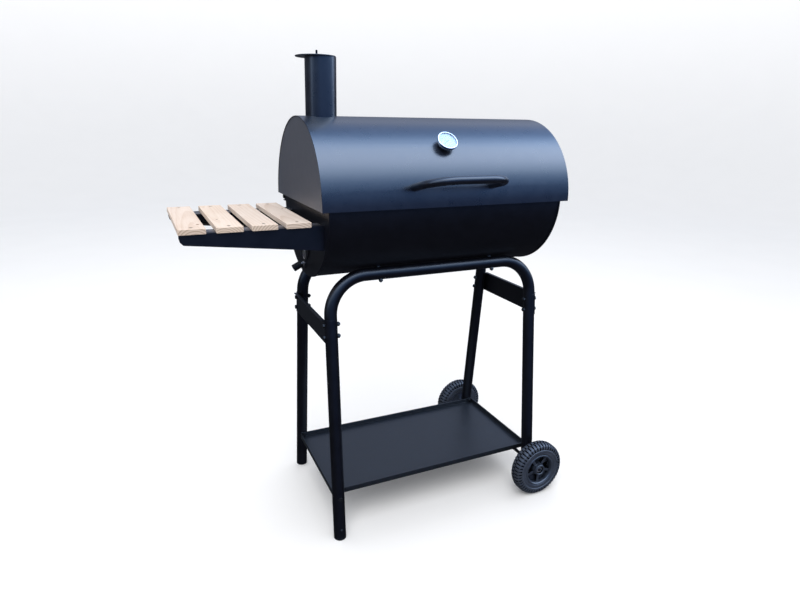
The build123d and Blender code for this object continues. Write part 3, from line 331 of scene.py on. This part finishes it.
def pine(name, board_x, seed, pith, tilt, density, early, warm, late, knots=()):
    """Planed pine: growth rings about a pith below the board, fibres along Y.

    seed shifts the noises; pith is (x from board_x, z); tilt turns the pith about X and Z;
    density is rings per metre. early, warm and late are the wood colours, and knots are
    (x from board_x, y from the barrel's axis, radius).
    """
    g = Surface(name)
    wander = g.noise(scale=1.0, vector=g.mapping(scale=(9.0, 2.2, 9.0),
                                                 shift=(seed * 3.7, seed * 1.3, 0)))
    from_pith = g.mapping(shift=(-board_x - pith[0], 0, -pith[1]))
    tilted = g.xyz(g.mapping(turn=(tilt[0], 0, tilt[1]), vector=from_pith))
    x, z = tilted[0], tilted[2]

    # knots push the rings aside
    push = 0.0
    heart = None
    for knot_x, knot_y, radius in knots:
        dx = g.math("DIVIDE", g.math("SUBTRACT", g.xyz(g.coords)[0], board_x + knot_x), radius)
        dy = g.math("DIVIDE", g.math("SUBTRACT", g.xyz(g.coords)[1], BARREL_Y + knot_y),
                    radius * 1.5)
        away = g.math("SQRT", g.math("ADD", g.math("MULTIPLY", dx, dx),
                                     g.math("MULTIPLY", dy, dy)))
        ragged = g.remap(g.noise(scale=140.0), span=(0, 1), to=(-0.2, 0.2))
        away = g.math("ADD", away, ragged)
        swell = g.remap(away, span=(0.6, 3.6), to=(1.0, 0.0), smooth=True)
        push = g.math("ADD", push, g.math("MULTIPLY", swell, radius * 0.9))
        inside = g.remap(away, span=(0.85, 1.1), to=(1.0, 0.0), smooth=True)
        if heart is None:
            heart = (inside, away)
        else:
            heart = (g.math("MAXIMUM", heart[0], inside), g.math("MINIMUM", heart[1], away))

    # each ring darkens slowly to late wood, then drops back sharply
    radial = g.math("SQRT", g.math("ADD", g.math("MULTIPLY", x, x), g.math("MULTIPLY", z, z)))
    radial = g.math("ADD", radial, g.remap(wander, span=(0, 1), to=(-0.006, 0.006)))
    if knots:
        radial = g.math("ADD", radial, push)
    rings = g.math("FRACT", g.math("MULTIPLY", radial, density))
    ring_stops = ((0.0, 0.0), (0.45, 0.12), (0.80, 0.75), (0.92, 1.0), (0.97, 0.1), (1.0, 0.0))
    lateness = g.ramp(rings, [(position, (grey,) * 3) for position, grey in ring_stops])

    fibre = g.noise(scale=1.0, detail=4.0, rough=0.7, vector=g.mapping(scale=(700.0, 16.0, 700.0)))
    pore = g.noise(scale=1.0, detail=3.0, rough=0.6,
                   vector=g.mapping(scale=(2200.0, 60.0, 2200.0)))
    blotch = g.noise(scale=1.0, detail=3.0,
                     vector=g.mapping(scale=(22.0, 7.0, 22.0), shift=(seed, 0, 0)))
    colour = g.mix(g.remap(blotch), early, warm)
    colour = g.mix(g.math("MULTIPLY", lateness, g.remap(blotch, to=(0.26, 0.58))), colour, late)
    colour = g.mix(g.remap(fibre, span=(0.42, 0.72), to=(0.0, 0.22)), colour, late)
    pore_brown = (0.42, 0.27, 0.15)
    colour = g.mix(g.remap(pore, span=(0.55, 0.75), to=(0.0, 0.14)), colour, pore_brown)
    if knots:
        knot_rings = g.remap(g.math("FRACT", g.math("MULTIPLY", heart[1], 4.0)), span=(0.2, 0.9))
        knot_wood = g.mix(knot_rings, (0.30, 0.16, 0.08), (0.17, 0.085, 0.04))
        colour = g.mix(heart[0], colour, knot_wood)

    # end grain soaks up light: darker on the two cut ends
    endwise = g.math("ABSOLUTE", g.xyz(g.geometry("Normal"))[1])
    sawn = g.mix(lateness, shade(warm, 0.80), shade(late, 0.45))
    colour = g.mix(g.remap(endwise, span=(0.7, 0.95), to=(0.0, 0.85)), colour, sawn)
    height = g.math("ADD", g.math("MULTIPLY", lateness, 0.5), g.math("MULTIPLY", fibre, 0.6))
    normal = g.bump(height, strength=0.35, distance=0.00028, normal=g.bevel(0.8 * MM))
    tone = (0.90, 0.885, 0.88)
    colour = g.mix(1.0, colour, tone, blend="MULTIPLY")
    return g.set(Base_Color=colour, Roughness=g.remap(fibre, to=(0.5, 0.68)), Normal=normal,
                 Specular_IOR_Level=0.35)


# ------------------------------------------------------------------ materials of the CAD pieces
FINISHES = {
    "lid_paint": (paint, dict(base=(0.0040, 0.0058, 0.0115), rough=0.29, peel=0.9, wave=0.7)),
    # the lid's end plates: a grey copy of the black lid enamel, painted light falling on them from
    # the side
    "lid_end_paint": (paint, dict(base=(0.072, 0.077, 0.094), rough=0.44, peel=1.1, spec=0.6,
                                  coat=0.2, cloudy=0.25)),
    "box_paint": (paint, dict(base=(0.0016, 0.0020, 0.0046), rough=0.40, peel=1.1, wave=0.9,
                              spec=0.5, coat=0.08)),
    "frame_paint": (paint, dict(base=(0.0018, 0.0022, 0.0044), rough=0.33, wave=0.4, spec=0.55,
                                coat=0.1)),
    "handle_paint": (paint, dict(base=(0.0030, 0.0044, 0.0090), rough=0.30, peel=0.8, wave=0.2,
                                 spec=0.8, coat=0.3)),
    "tray_paint": (paint, dict(base=(0.0060, 0.0080, 0.0110), rough=0.42, peel=1.2, wave=1.2,
                               spec=0.6, coat=0.2, dust=0.03)),
    "black_bolts": (paint, dict(base=(0.006, 0.007, 0.009), rough=0.38, peel=0.6, wave=0.0,
                                bevel=0.3, spec=0.4, coat=0.05)),
    "zinc": (plated, dict(base=(0.50, 0.51, 0.54), rough=0.38, metallic=0.85)),
    "foot_plastic": (moulded, dict(base=(0.005, 0.006, 0.008), rough=0.48, spec=0.4)),
    "grip_plastic": (moulded, dict(base=(0.004, 0.0045, 0.006), rough=0.42, spec=0.4)),
    "hub_plastic": (moulded, dict(base=(0.024, 0.031, 0.047), rough=0.32, edge=0.7, spec=1.0,
                                  recess=0.024)),
    "tyre_rubber": (moulded, dict(base=(0.024, 0.030, 0.043), rough=0.50, grain=500.0, depth=0.4,
                                  edge=0.8, spec=0.9, bevel=0.8, recess=0.007)),
    "cut_steel": (plated, dict(base=(0.72, 0.73, 0.76), rough=0.42, metallic=0.6)),
    "slat_screw_steel": (plated, dict(base=(0.36, 0.28, 0.18), rough=0.35)),
    "gauge_chrome": (plated, dict(base=(0.86, 0.87, 0.88), rough=0.12, bevel=0.3, streak=0.02)),
    "gauge_face": (dial_face, {}),
    "gauge_glass": (glass, {}),
    "needle_paint": (ink, dict(base=(0.03, 0.03, 0.035))),
    "grate_wire": (wire, dict(base=(0.55, 0.56, 0.58), metallic=1.0, rough=0.28)),
    "coal_grate_wire": (wire, dict(base=(0.05, 0.05, 0.052), metallic=0.6, rough=0.55, ash=0.4)),
}
MATERIALS = {name: make(name, **settings) for name, (make, settings) in FINISHES.items()}

SHELF_Z = 0.826  # the piths lie below this height
SLATS = {
    "shelf_slat_a": dict(seed=1, pith=(0.010, SHELF_Z - 0.030), tilt=(0.030, 0.02), density=165.0,
                         early=(0.80, 0.69, 0.60), warm=(0.74, 0.61, 0.51),
                         late=(0.56, 0.40, 0.28), knots=[(0.017, -0.115, 0.0034)]),
    "shelf_slat_b": dict(seed=2, pith=(-0.016, SHELF_Z - 0.024), tilt=(-0.022, -0.03),
                         density=200.0, early=(0.82, 0.71, 0.61), warm=(0.77, 0.64, 0.53),
                         late=(0.60, 0.44, 0.31), knots=[(-0.013, -0.062, 0.0026)]),
    "shelf_slat_c": dict(seed=3, pith=(0.040, SHELF_Z - 0.045), tilt=(0.018, -0.05),
                         density=185.0, early=(0.81, 0.71, 0.62), warm=(0.75, 0.63, 0.53),
                         late=(0.58, 0.43, 0.31)),
    "shelf_slat_d": dict(seed=4, pith=(-0.006, SHELF_Z - 0.060), tilt=(0.026, 0.04),
                         density=175.0, early=(0.80, 0.71, 0.62), warm=(0.75, 0.63, 0.54),
                         late=(0.57, 0.43, 0.32), knots=[(0.016, 0.052, 0.0024)]),
}

for node in nodes:
    if node in SLATS:
        low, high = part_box(node)
        material = pine("pine_" + node[-1], board_x=(low.x + high.x) / 2, **SLATS[node])
    elif node in ("lid_left_end", "lid_right_end"):
        # the lid's end plates take the grey enamel copy, painted side light
        material = MATERIALS["lid_end_paint"]
    else:
        material = MATERIALS[slot_of[node]]
    nodes[node].data.materials.clear()
    nodes[node].data.materials.append(material)


# ------------------------------------------------------------------ new pieces
def link(name, data):
    obj = bpy.data.objects.new(name, data)
    bpy.context.scene.collection.objects.link(obj)
    return obj


def piece(name, verts, faces, material, body, slot, smooth=False):
    mesh = bpy.data.meshes.new(name)
    mesh.from_pydata([tuple(v) for v in verts], [], faces)
    mesh.validate()
    bm = bmesh.new()
    bm.from_mesh(mesh)
    bmesh.ops.recalc_face_normals(bm, faces=bm.faces)
    bm.to_mesh(mesh)
    bm.free()
    for polygon in mesh.polygons:
        polygon.use_smooth = smooth
    obj = link(name, mesh)
    mesh.materials.append(material)
    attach(obj, body)


def prism(bottom, top):
    """Vertices and faces of a solid between two matching outlines."""
    count = len(bottom)
    faces = [tuple(range(count, 2 * count)), tuple(reversed(range(count)))]
    for i in range(count):
        j = (i + 1) % count
        faces.append((i, j, count + j, count + i))
    return bottom + top, faces


def join(parts):
    verts, faces = [], []
    for part_verts, part_faces in parts:
        first = len(verts)
        verts += part_verts
        faces += [tuple(i + first for i in face) for face in part_faces]
    return verts, faces


# ------------------------------------------------------------------ dial print
# Sizes in mm and angles in degrees, anticlockwise from the dial's right.
DIAL_TILT = math.radians(42.8)  # of the dial's normal above the horizontal
DIAL_STANDOFF = 15.1            # face above the barrel's radius
DIAL_RIGHT = Vector((1, 0, 0))
DIAL_UP = Vector((0, math.sin(DIAL_TILT), math.cos(DIAL_TILT)))
DIAL_OUT = Vector((0, -math.cos(DIAL_TILT), math.sin(DIAL_TILT)))
DIAL = (Vector((middle("gauge_dial").x, BARREL_Y, BARREL_Z))
        + DIAL_OUT * (BARREL_RADIUS_MM + DIAL_STANDOFF) * MM)

SCALE_START, SCALE_SWEEP = 225, 270
TICK_STEPS, TICKS_PER_LONG = 60, 5
TICK_INNER, SHORT_TICK_OUTER, LONG_TICK_OUTER = 20.4, 21.9, 22.6
SHORT_TICK_HALF_WIDTH, LONG_TICK_HALF_WIDTH = 0.10, 0.20
RING_WIDTH, RING_PIECES = 0.3, 9
ZONE_INNER, ZONE_OUTER = 17.6, 19.6
PRINT_HEIGHT = 0.08
NUMBER_RADIUS, NUMBER_SIZE, NUMBER_EXTRUDE, NUMBER_HEIGHT = 13.6, 4.4, 0.04, 0.06


def on_dial(x, y, height):
    return DIAL + (DIAL_RIGHT * x + DIAL_UP * y + DIAL_OUT * height) * MM


def printed(name, outlines, material):
    """Thin printed shapes, each outline a list of (x, y) on the dial."""
    solids = [prism([on_dial(x, y, 0.0) for x, y in outline],
                    [on_dial(x, y, PRINT_HEIGHT) for x, y in outline]) for outline in outlines]
    piece(name, *join(solids), material, "lid", "gauge_face")


def arc_strip(inner, outer, start, end, steps=24):
    def arc(radius, indices):
        angles = [math.radians(start + (end - start) * i / steps) for i in indices]
        return [(radius * math.cos(a), radius * math.sin(a)) for a in angles]

    return arc(outer, range(steps + 1)) + arc(inner, range(steps, -1, -1))


def tick(index):
    angle = math.radians(SCALE_START - index * SCALE_SWEEP / TICK_STEPS)
    outer, half = SHORT_TICK_OUTER, SHORT_TICK_HALF_WIDTH
    if index % TICKS_PER_LONG == 0:
        outer, half = LONG_TICK_OUTER, LONG_TICK_HALF_WIDTH
    cos, sin = math.cos(angle), math.sin(angle)
    corners = ((TICK_INNER, -half), (TICK_INNER, half), (outer, half), (outer, -half))
    return [(r * cos + w * sin, r * sin - w * cos) for r, w in corners]


def dial_number(index, material):
    angle = math.radians(SCALE_START - index * 45)
    curve = bpy.data.curves.new("dial_number", "FONT")
    curve.body = str(50 * index)
    curve.size = NUMBER_SIZE * MM
    curve.extrude = NUMBER_EXTRUDE * MM
    curve.align_x = curve.align_y = "CENTER"
    text = link("dial_number_tmp", curve)
    bpy.context.view_layer.update()
    depsgraph = bpy.context.evaluated_depsgraph_get()
    mesh = bpy.data.meshes.new_from_object(text.evaluated_get(depsgraph))
    bpy.data.objects.remove(text)
    matrix = Matrix((DIAL_RIGHT, DIAL_UP, DIAL_OUT)).transposed().to_4x4()
    matrix.translation = on_dial(NUMBER_RADIUS * math.cos(angle),
                                 NUMBER_RADIUS * math.sin(angle), NUMBER_HEIGHT)
    mesh.transform(matrix)
    mesh.materials.clear()
    mesh.materials.append(material)
    obj = link("dial_number_%d" % index, mesh)
    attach(obj, "lid")


printed("dial_ticks", [tick(i) for i in range(TICK_STEPS + 1)],
        ink("dial_ink", base=(0.045, 0.055, 0.07)))
ring_step = SCALE_SWEEP / RING_PIECES
printed("dial_ring",
        [arc_strip(LONG_TICK_OUTER, LONG_TICK_OUTER + RING_WIDTH, SCALE_START - i * ring_step,
                   SCALE_START - (i + 1) * ring_step, steps=10) for i in range(RING_PIECES)],
        ink("dial_ink_ring", base=(0.10, 0.12, 0.15)))
# heat zones: name, start angle, end angle, colour
for zone, start, end, colour in (("low", 223, 170, (0.20, 0.27, 0.34)),
                                 ("mid", 168, 78, (0.30, 0.34, 0.38)),
                                 ("high", 76, 10, (0.16, 0.19, 0.23))):
    printed("dial_zone_" + zone, [arc_strip(ZONE_INNER, ZONE_OUTER, start, end)],
            ink("dial_" + zone, base=colour))
numbers_ink = ink("dial_numbers_ink", base=(0.03, 0.035, 0.045))
for i in range(7):
    dial_number(i, numbers_ink)


# ------------------------------------------------------------------ shelf lips
LIP_THICK, LIP_CORNER = 1.5, 9.0  # mm


def lip(plate, front, top, material):
    """Flat lip turned inward from a shelf side plate, along its top or its lower edge."""
    low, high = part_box(plate)
    edge, inward = (low.y, 1.0) if front else (high.y, -1.0)
    x0, x1 = low.x + (2.0 if top else 11.0) * MM, high.x - 2.0 * MM
    start, end = (14.2, 45.0) if top else (1.6, 40.0)  # mm inward from the plate's outer face

    def height(x):
        if top:
            return high.z - 1.60 * MM
        # the lower edge climbs 34 mm towards -X
        return low.z + 34.0 * MM * (high.x - x) / (high.x - low.x - 9.0 * MM) + 0.2 * MM

    outline = [(x0, start), (x1, start), (x1, end)]
    for i in range(7):  # rounded free corner
        angle = math.radians(90 * i / 6)
        outline.append((x0 + (LIP_CORNER - LIP_CORNER * math.sin(angle)) * MM,
                        end - LIP_CORNER + LIP_CORNER * math.cos(angle)))
    verts = [(x, edge + inward * y * MM, height(x) + thick)
             for thick in (0.0, LIP_THICK * MM) for x, y in outline]
    count = len(outline)
    faces = [tuple(range(count)), tuple(reversed(range(count, 2 * count)))]
    faces += [(i, (i + 1) % count, count + (i + 1) % count, count + i) for i in range(count)]
    name = plate + ("_top_lip" if top else "_lower_lip")
    piece(name, verts, faces, material, "stand", "frame_paint")


# the lips get a grey copy of the black shelf paint, a painted highlight along the shelf's folded
# edges
lip_painted_highlight = paint("shelf_lip_paint", base=(0.060, 0.058, 0.064), rough=0.42, wave=0.8, spec=0.9,
                  coat=0.4, dust=0.04, cloudy=0.4)
for plate, front in (("shelf_front_plate", True), ("shelf_rear_plate", False)):
    for top in (True, False):
        lip(plate, front, top, lip_painted_highlight)


# ------------------------------------------------------------------ vent slot rims: painted highlight
VENT_CENTRE = Vector((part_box("vent_shutter")[0].x + 1.4 * MM, BARREL_Y + 8.0 * MM, 0.750))
SLOT_COUNT = 4
SLOT_FROM_CENTRE, SLOT_HALF_STRAIGHT, SLOT_END_RADIUS = 27.0, 5.5, 8.1  # mm
RIM_HIGHLIGHT_RADIUS = 0.75  # mm


def tube_loop(points, radius, sides=8):
    """Vertices and faces of a round bead that follows a closed loop of points."""
    verts, faces = [], []
    count = len(points)
    for i, point in enumerate(points):
        along = (points[(i + 1) % count] - points[(i - 1) % count]).normalized()
        if i == 0:
            side = along.orthogonal().normalized()
        else:
            side = (side - along * side.dot(along)).normalized()
        other = along.cross(side)
        for k in range(sides):
            angle = 2 * math.pi * k / sides
            verts.append(point + (side * math.cos(angle) + other * math.sin(angle)) * radius)
    for i in range(count):
        j = (i + 1) % count
        for k in range(sides):
            m = (k + 1) % sides
            faces.append((i * sides + k, i * sides + m, j * sides + m, j * sides + k))
    return verts, faces


def slot_rim_highlight(index):
    """Raised bright bead round one radial slot of the vent disc, a painted highlight on its rim.
    """
    turn = math.radians(360 // SLOT_COUNT * index)
    radial = Vector((0, math.cos(turn), math.sin(turn)))
    across = Vector((0, -math.sin(turn), math.cos(turn)))
    path = []
    for end in (1, -1):  # outer, then inner half-round
        for i in range(13):
            angle = math.radians(-90 * end + 180 * i / 12)
            out = SLOT_FROM_CENTRE + end * SLOT_HALF_STRAIGHT + SLOT_END_RADIUS * math.cos(angle)
            path.append(VENT_CENTRE
                        + (radial * out + across * (SLOT_END_RADIUS * math.sin(angle))) * MM)
    return tube_loop(path, RIM_HIGHLIGHT_RADIUS * MM)


# painted highlight: bright plated beads round the slots stand in for light caught on the slot rims
piece("vent_slot_rim_highlights", *join([slot_rim_highlight(i) for i in range(SLOT_COUNT)]),
      MATERIALS["cut_steel"], "vent_shutter", "zinc", smooth=True)


# ------------------------------------------------------------------ stage
def backdrop():
    """Pale round studio floor that sweeps up all round, far from the object."""
    flat_radius, sweep, segments = 6.0, 4.0, 96
    rings = [(radius, 0.0) for radius in (0.02, 0.4, 1.0, 2.0, 4.0, flat_radius)]
    for i in range(1, 13):
        angle = math.radians(90 * i / 12)
        rings.append((flat_radius + sweep * math.sin(angle), sweep - sweep * math.cos(angle)))
    rings += [(flat_radius + sweep, z) for z in (7.0, 11.0)]
    turns = [2 * math.pi * s / segments for s in range(segments)]
    verts = [(0, 0, 0)]
    verts += [(r * math.cos(turn), r * math.sin(turn), z) for r, z in rings for turn in turns]
    faces = [(0, 1 + s, 1 + (s + 1) % segments) for s in range(segments)]
    for k in range(len(rings) - 1):
        for s in range(segments):
            a, b = 1 + k * segments + s, 1 + k * segments + (s + 1) % segments
            faces.append((a, a + segments, b + segments, b))
    mesh = bpy.data.meshes.new("studio_floor")
    mesh.from_pydata(verts, [], faces)
    for polygon in mesh.polygons:
        polygon.use_smooth = True
    obj = link("studio_floor", mesh)
    g = Surface("studio_floor")
    colour = g.mix(g.noise(scale=3.0, detail=3.0), (0.90, 0.902, 0.905), (0.93, 0.931, 0.934))
    normal = g.bump(g.noise(scale=400.0), strength=0.03, distance=0.0005)
    glow = g.remap(g.xyz(g.geometry("Position"))[2], span=(0.0, 5.0), to=(0.02, 0.34),
                   smooth=True)
    mesh.materials.append(g.set(Base_Color=colour, Roughness=0.9, Specular_IOR_Level=0.1,
                                Normal=normal, Emission_Color=(1.0, 1.0, 1.0),
                                Emission_Strength=glow))
    obj.visible_glossy = False
    obj.visible_shadow = False
    obj.visible_diffuse = False


def area(name, at, aim, size, power, colour):
    light = bpy.data.lights.new(name, "AREA")
    light.shape = "RECTANGLE"
    light.size = light.size_y = size
    light.energy = power
    light.color = colour
    obj = link(name, light)
    obj.location = at
    obj.rotation_mode = "QUATERNION"
    obj.rotation_quaternion = (Vector(aim) - Vector(at)).to_track_quat("-Z", "Y")
    obj.visible_glossy = False
    obj.visible_camera = False


backdrop()
area("key", at=(-1.2, -2.2, 3.4), aim=(0, 0, 0.5), size=2.2, power=70.0, colour=(1, 0.985, 0.96))
area("top", at=(0.3, 0.2, 4.2), aim=(0, 0, 0.4), size=3.0, power=60.0, colour=(0.97, 0.98, 1))

# Reflected sky: degrees round the X axis (0 front horizon, 90 overhead, 180 back), radiance
SKY = [
    (-180, (0.045, 0.05, 0.065)), (-150, (0.025, 0.03, 0.04)), (-120, (0.012, 0.013, 0.02)),
    (-60, (0.008, 0.010, 0.022)), (-24, (0.012, 0.016, 0.05)), (-8, (0.03, 0.07, 0.22)),
    (10, (0.12, 0.27, 0.66)), (28, (0.50, 0.90, 1.70)), (42, (1.75, 2.40, 3.50)),
    (56, (2.70, 3.40, 4.75)), (72, (2.80, 3.55, 4.90)), (84, (2.20, 3.05, 4.60)),
    (94, (1.05, 1.70, 2.95)), (104, (0.46, 0.80, 1.55)), (116, (0.40, 0.62, 1.15)),
    (134, (0.56, 0.66, 0.92)), (158, (0.27, 0.31, 0.42)), (180, (0.045, 0.05, 0.065)),
]
SKY_PEAK = 4.9  # brightest channel; the ramp holds the sky divided by it


def studio_world():
    """Even light for surfaces, white for the camera, and a cool softbox sky for reflections."""
    world = bpy.data.worlds.new("studio")
    bpy.context.scene.world = world
    world.use_nodes = True
    g = Graph(world.node_tree)

    def background(colour, strength):
        node = g.add("ShaderNodeBackground")
        g.put(node.inputs["Color"], colour)
        g.put(node.inputs["Strength"], strength)
        return node.outputs[0]

    x, y, z = g.xyz(g.add("ShaderNodeTexCoord").outputs["Generated"])
    angle = g.math("ARCTAN2", z, g.math("MULTIPLY", y, -1.0))
    turn = g.math("ADD", g.math("DIVIDE", angle, 2 * math.pi), 0.5)
    stops = [(degrees / 360 + 0.5, tuple(channel / SKY_PEAK for channel in colour))
             for degrees, colour in SKY]
    sky = g.ramp(turn, stops, interpolation="EASE")
    # the softbox fades towards the two ends of the barrel
    fade = g.remap(g.math("ABSOLUTE", g.math("SUBTRACT", x, 0.25)), span=(0.45, 1.15),
                   to=(1.0, 0.45), smooth=True)
    reflected = background(sky, g.math("MULTIPLY", fade, SKY_PEAK))
    even = background((0.95, 0.965, 1.0), strength=0.86)
    seen = background((1.0, 1.0, 1.0), strength=1.0)
    rays = g.add("ShaderNodeLightPath").outputs
    lighting = g.mix_shaders(rays["Is Glossy Ray"], even, reflected)
    shown = g.mix_shaders(rays["Is Camera Ray"], lighting, seen)
    g.put(g.add("ShaderNodeOutputWorld").inputs[0], shown)


studio_world()

# ------------------------------------------------------------------ camera
# Radians: yaw from +Y towards +X, downward pitch, roll about the view axis
YAW, PITCH, ROLL = 0.42010, 0.25537, 0.014787
CAMERA_AT = Vector((-0.7143 + BARREL_X, -1.3921 + BARREL_Y, 1.0551))


def camera():
    forward = Vector((math.sin(YAW) * math.cos(PITCH), math.cos(YAW) * math.cos(PITCH),
                      -math.sin(PITCH)))
    level = Vector((math.cos(YAW), -math.sin(YAW), 0))
    upright = level.cross(forward)
    right = level * math.cos(ROLL) + upright * math.sin(ROLL)
    up = -level * math.sin(ROLL) + upright * math.cos(ROLL)
    data = bpy.data.cameras.new("camera")
    data.sensor_width = 36
    data.lens = 25.684
    data.shift_x, data.shift_y = 0.01632, -0.0364
    data.clip_start, data.clip_end = 0.05, 60
    obj = link("camera", data)
    matrix = Matrix((right, up, -forward)).transposed().to_4x4()
    matrix.translation = CAMERA_AT
    obj.matrix_world = matrix
    bpy.context.scene.camera = obj


camera()

view = bpy.context.scene.view_settings
view.view_transform = "Standard"
view.look = "None"
view.exposure = 0.0
